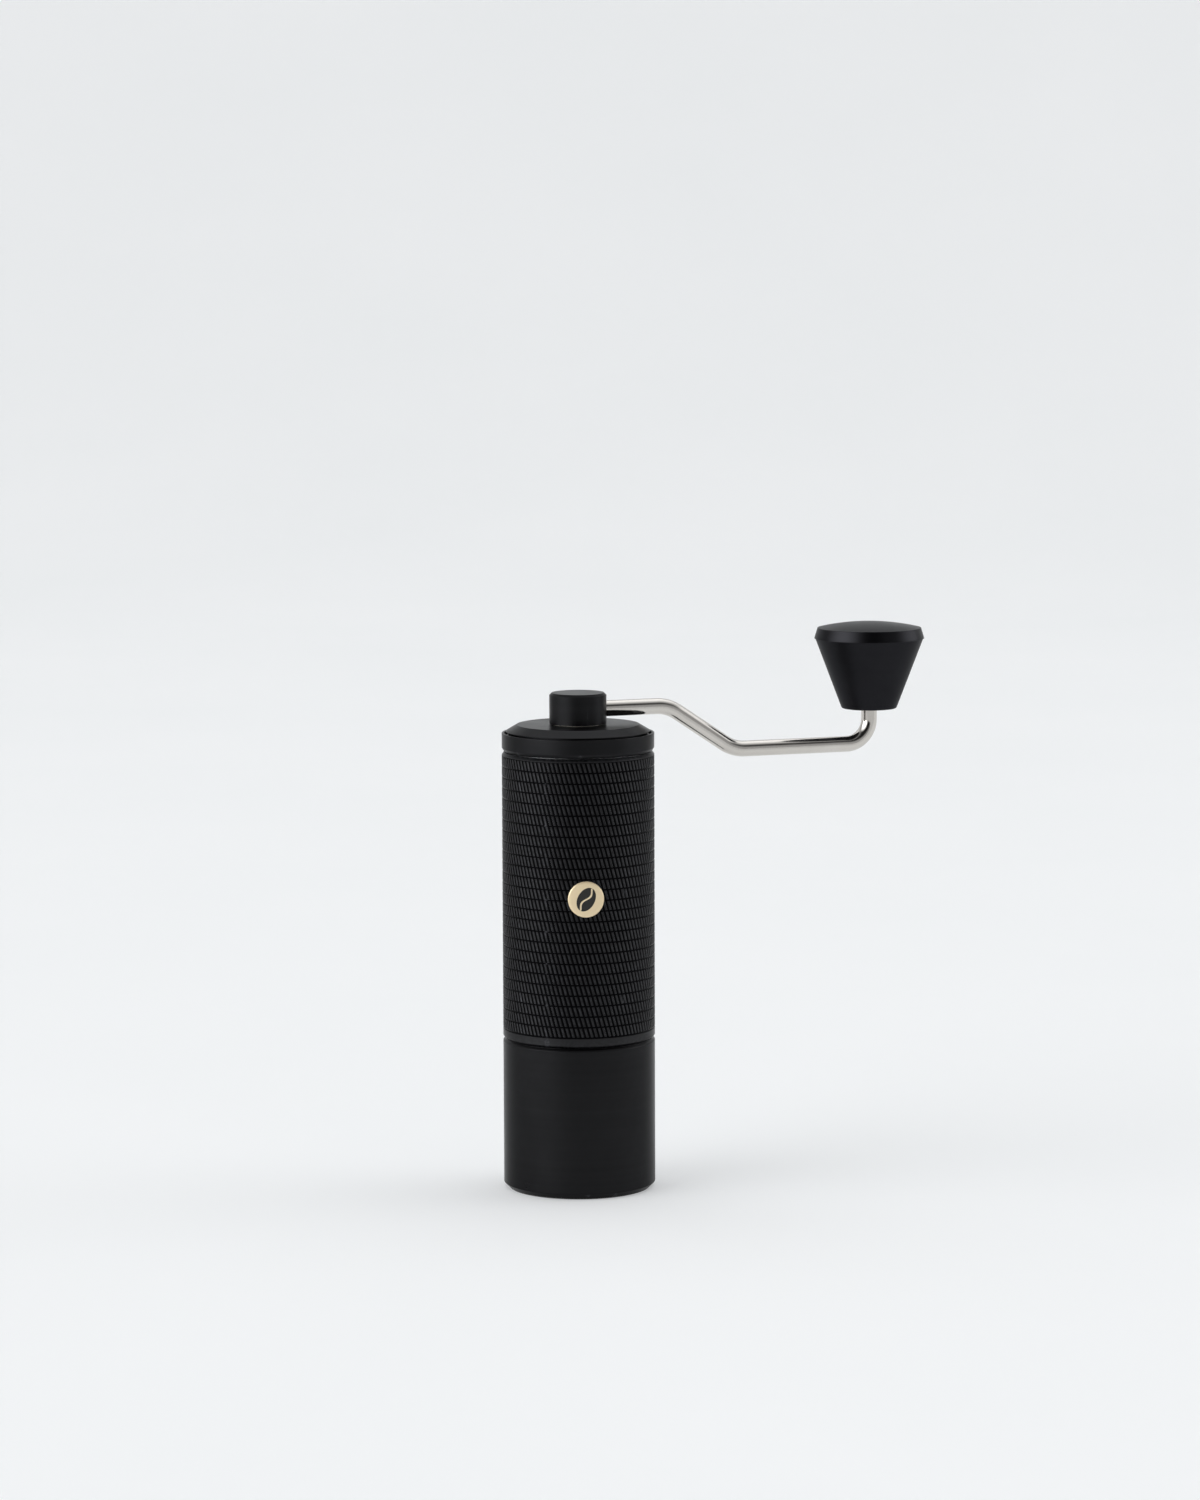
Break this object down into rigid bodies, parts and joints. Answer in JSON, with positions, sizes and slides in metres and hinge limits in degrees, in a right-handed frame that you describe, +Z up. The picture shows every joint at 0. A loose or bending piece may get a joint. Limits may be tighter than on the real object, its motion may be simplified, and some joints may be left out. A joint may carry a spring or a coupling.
{
  "type": "hand crank coffee grinder",
  "caption": "Hand crank coffee grinder: ribbed black sleeve, click dial under a lift-off lid, bent steel crank with a conical knob, conical burrs and a magnetic catch cup.",
  "frame": {"origin": "centre of the flat foot, on the grinding axis", "axes": "+Z up the grinding axis, +X along the crank at rest"},
  "size_m": [0.1527, 0.0521, 0.191],
  "materials": {
    "black_anodised": "matte black anodised, fine turning marks",
    "badge_brass": "satin brass with dark engraving",
    "polished_steel": "polished stainless",
    "knob_black": "satin black",
    "rubber_black": "matte",
    "chamber_steel": "turned stainless",
    "burr_steel": "ground hardened steel",
    "machined_aluminium": "machined",
    "bearing_steel": "polished",
    "cage_polymer": "natural polymer",
    "fastener_steel": "plain",
    "spring_steel": "spring temper",
    "magnet": "nickel plated"
  },
  "bodies": {
    "housing": {"outer_sleeve": "black_anodised", "badge": "badge_brass", "inner_barrel": "chamber_steel", "stop_pin": "chamber_steel", "burr_housing": "machined_aluminium", "cup_magnets": "magnet", "skirt_seal": "rubber_black", "outer_burr": "burr_steel", "burr_retaining_ring": "machined_aluminium", "lower_bracket": "machined_aluminium", "bracket_circlip": "spring_steel", "bracket_screws": "fastener_steel", "lower_bearing_outer": "bearing_steel", "index_ring": "machined_aluminium", "detent_balls": "bearing_steel", "detent_springs": "spring_steel"},
    "lower_race": {"lower_bearing_inner": "bearing_steel"},
    "lower_cage": {"lower_bearing_balls": "bearing_steel", "lower_bearing_cage": "cage_polymer"},
    "dial": {"adjustment_ring": "black_anodised", "click_ring": "chamber_steel", "dial_circlip": "spring_steel"},
    "carrier": {"bearing_carrier": "machined_aluminium", "carrier_circlip": "spring_steel", "upper_bearing_outer": "bearing_steel"},
    "upper_cage": {"upper_bearing_balls": "bearing_steel", "upper_bearing_cage": "cage_polymer"},
    "shaft": {"drive_shaft": "chamber_steel", "shaft_circlips": "spring_steel", "upper_bearing_inner": "bearing_steel", "inner_burr": "burr_steel", "burr_washer": "fastener_steel", "burr_nut": "fastener_steel", "preload_spring": "spring_steel"},
    "lid": {"lid_shell": "black_anodised", "lid_bush": "cage_polymer", "thrust_washer": "cage_polymer", "lid_seal": "rubber_black"},
    "crank": {"drive_socket": "chamber_steel", "spindle_circlip": "spring_steel", "hub_cap": "black_anodised", "hub_screw": "fastener_steel", "crank_rod": "polished_steel", "knob_washer": "fastener_steel", "knob_screw": "fastener_steel"},
    "knob": {"knob_shell": "knob_black", "knob_cap": "knob_black", "knob_bush_lower": "cage_polymer", "knob_bush_upper": "cage_polymer"},
    "cup": {"catch_cup": "black_anodised", "cup_steel_ring": "chamber_steel", "foot_pad": "rubber_black"}
  },
  "joints": [
    {"name": "cup_pull", "type": "slide", "parent": "housing", "child": "cup", "axis": [0, 0, -1], "range_m": [0, 0.06]},
    {"name": "dial_turn", "type": "hinge", "parent": "housing", "child": "dial", "pos_m": [0, 0, 0.1506], "axis": [0, 0, 1], "range_deg": [-90.1, 240.1]},
    {"name": "carrier_slide", "type": "slide", "parent": "housing", "child": "carrier", "axis": [0, 0, 1], "range_m": [-0.001, 0.00038], "deforming": ["preload_spring"]},
    {"name": "lid_lift", "type": "slide", "parent": "housing", "child": "lid", "axis": [0, 0, 1], "range_m": [0, 0.06]},
    {"name": "crank_turn", "type": "hinge", "parent": "lid", "child": "crank", "pos_m": [0, 0, 0.16], "axis": [0, 0, 1], "continuous": true},
    {"name": "knob_turn", "type": "hinge", "parent": "crank", "child": "knob", "pos_m": [0.1076, 0, 0.17], "axis": [0, 0, 1], "continuous": true},
    {"name": "shaft_turn", "type": "hinge", "parent": "carrier", "child": "shaft", "pos_m": [0, 0, 0.1355], "axis": [0, 0, 1], "continuous": true},
    {"name": "lower_race_turn", "type": "hinge", "parent": "housing", "child": "lower_race", "pos_m": [0, 0, 0.0735], "axis": [0, 0, 1], "continuous": true},
    {"name": "lower_cage_turn", "type": "hinge", "parent": "housing", "child": "lower_cage", "pos_m": [0, 0, 0.0735], "axis": [0, 0, 1], "continuous": true},
    {"name": "upper_cage_turn", "type": "hinge", "parent": "carrier", "child": "upper_cage", "pos_m": [0, 0, 0.1355], "axis": [0, 0, 1], "continuous": true}
  ],
  "couplings": [
    {"joint": "dial_turn", "follows": "carrier_slide", "rad_per_m": -4188.8},
    {"joint": "shaft_turn", "follows": "crank_turn", "ratio": 1},
    {"joint": "lower_race_turn", "follows": "crank_turn", "ratio": 1},
    {"joint": "lower_cage_turn", "follows": "crank_turn", "ratio": 0.4008},
    {"joint": "upper_cage_turn", "follows": "crank_turn", "ratio": 0.4008}
  ]
}
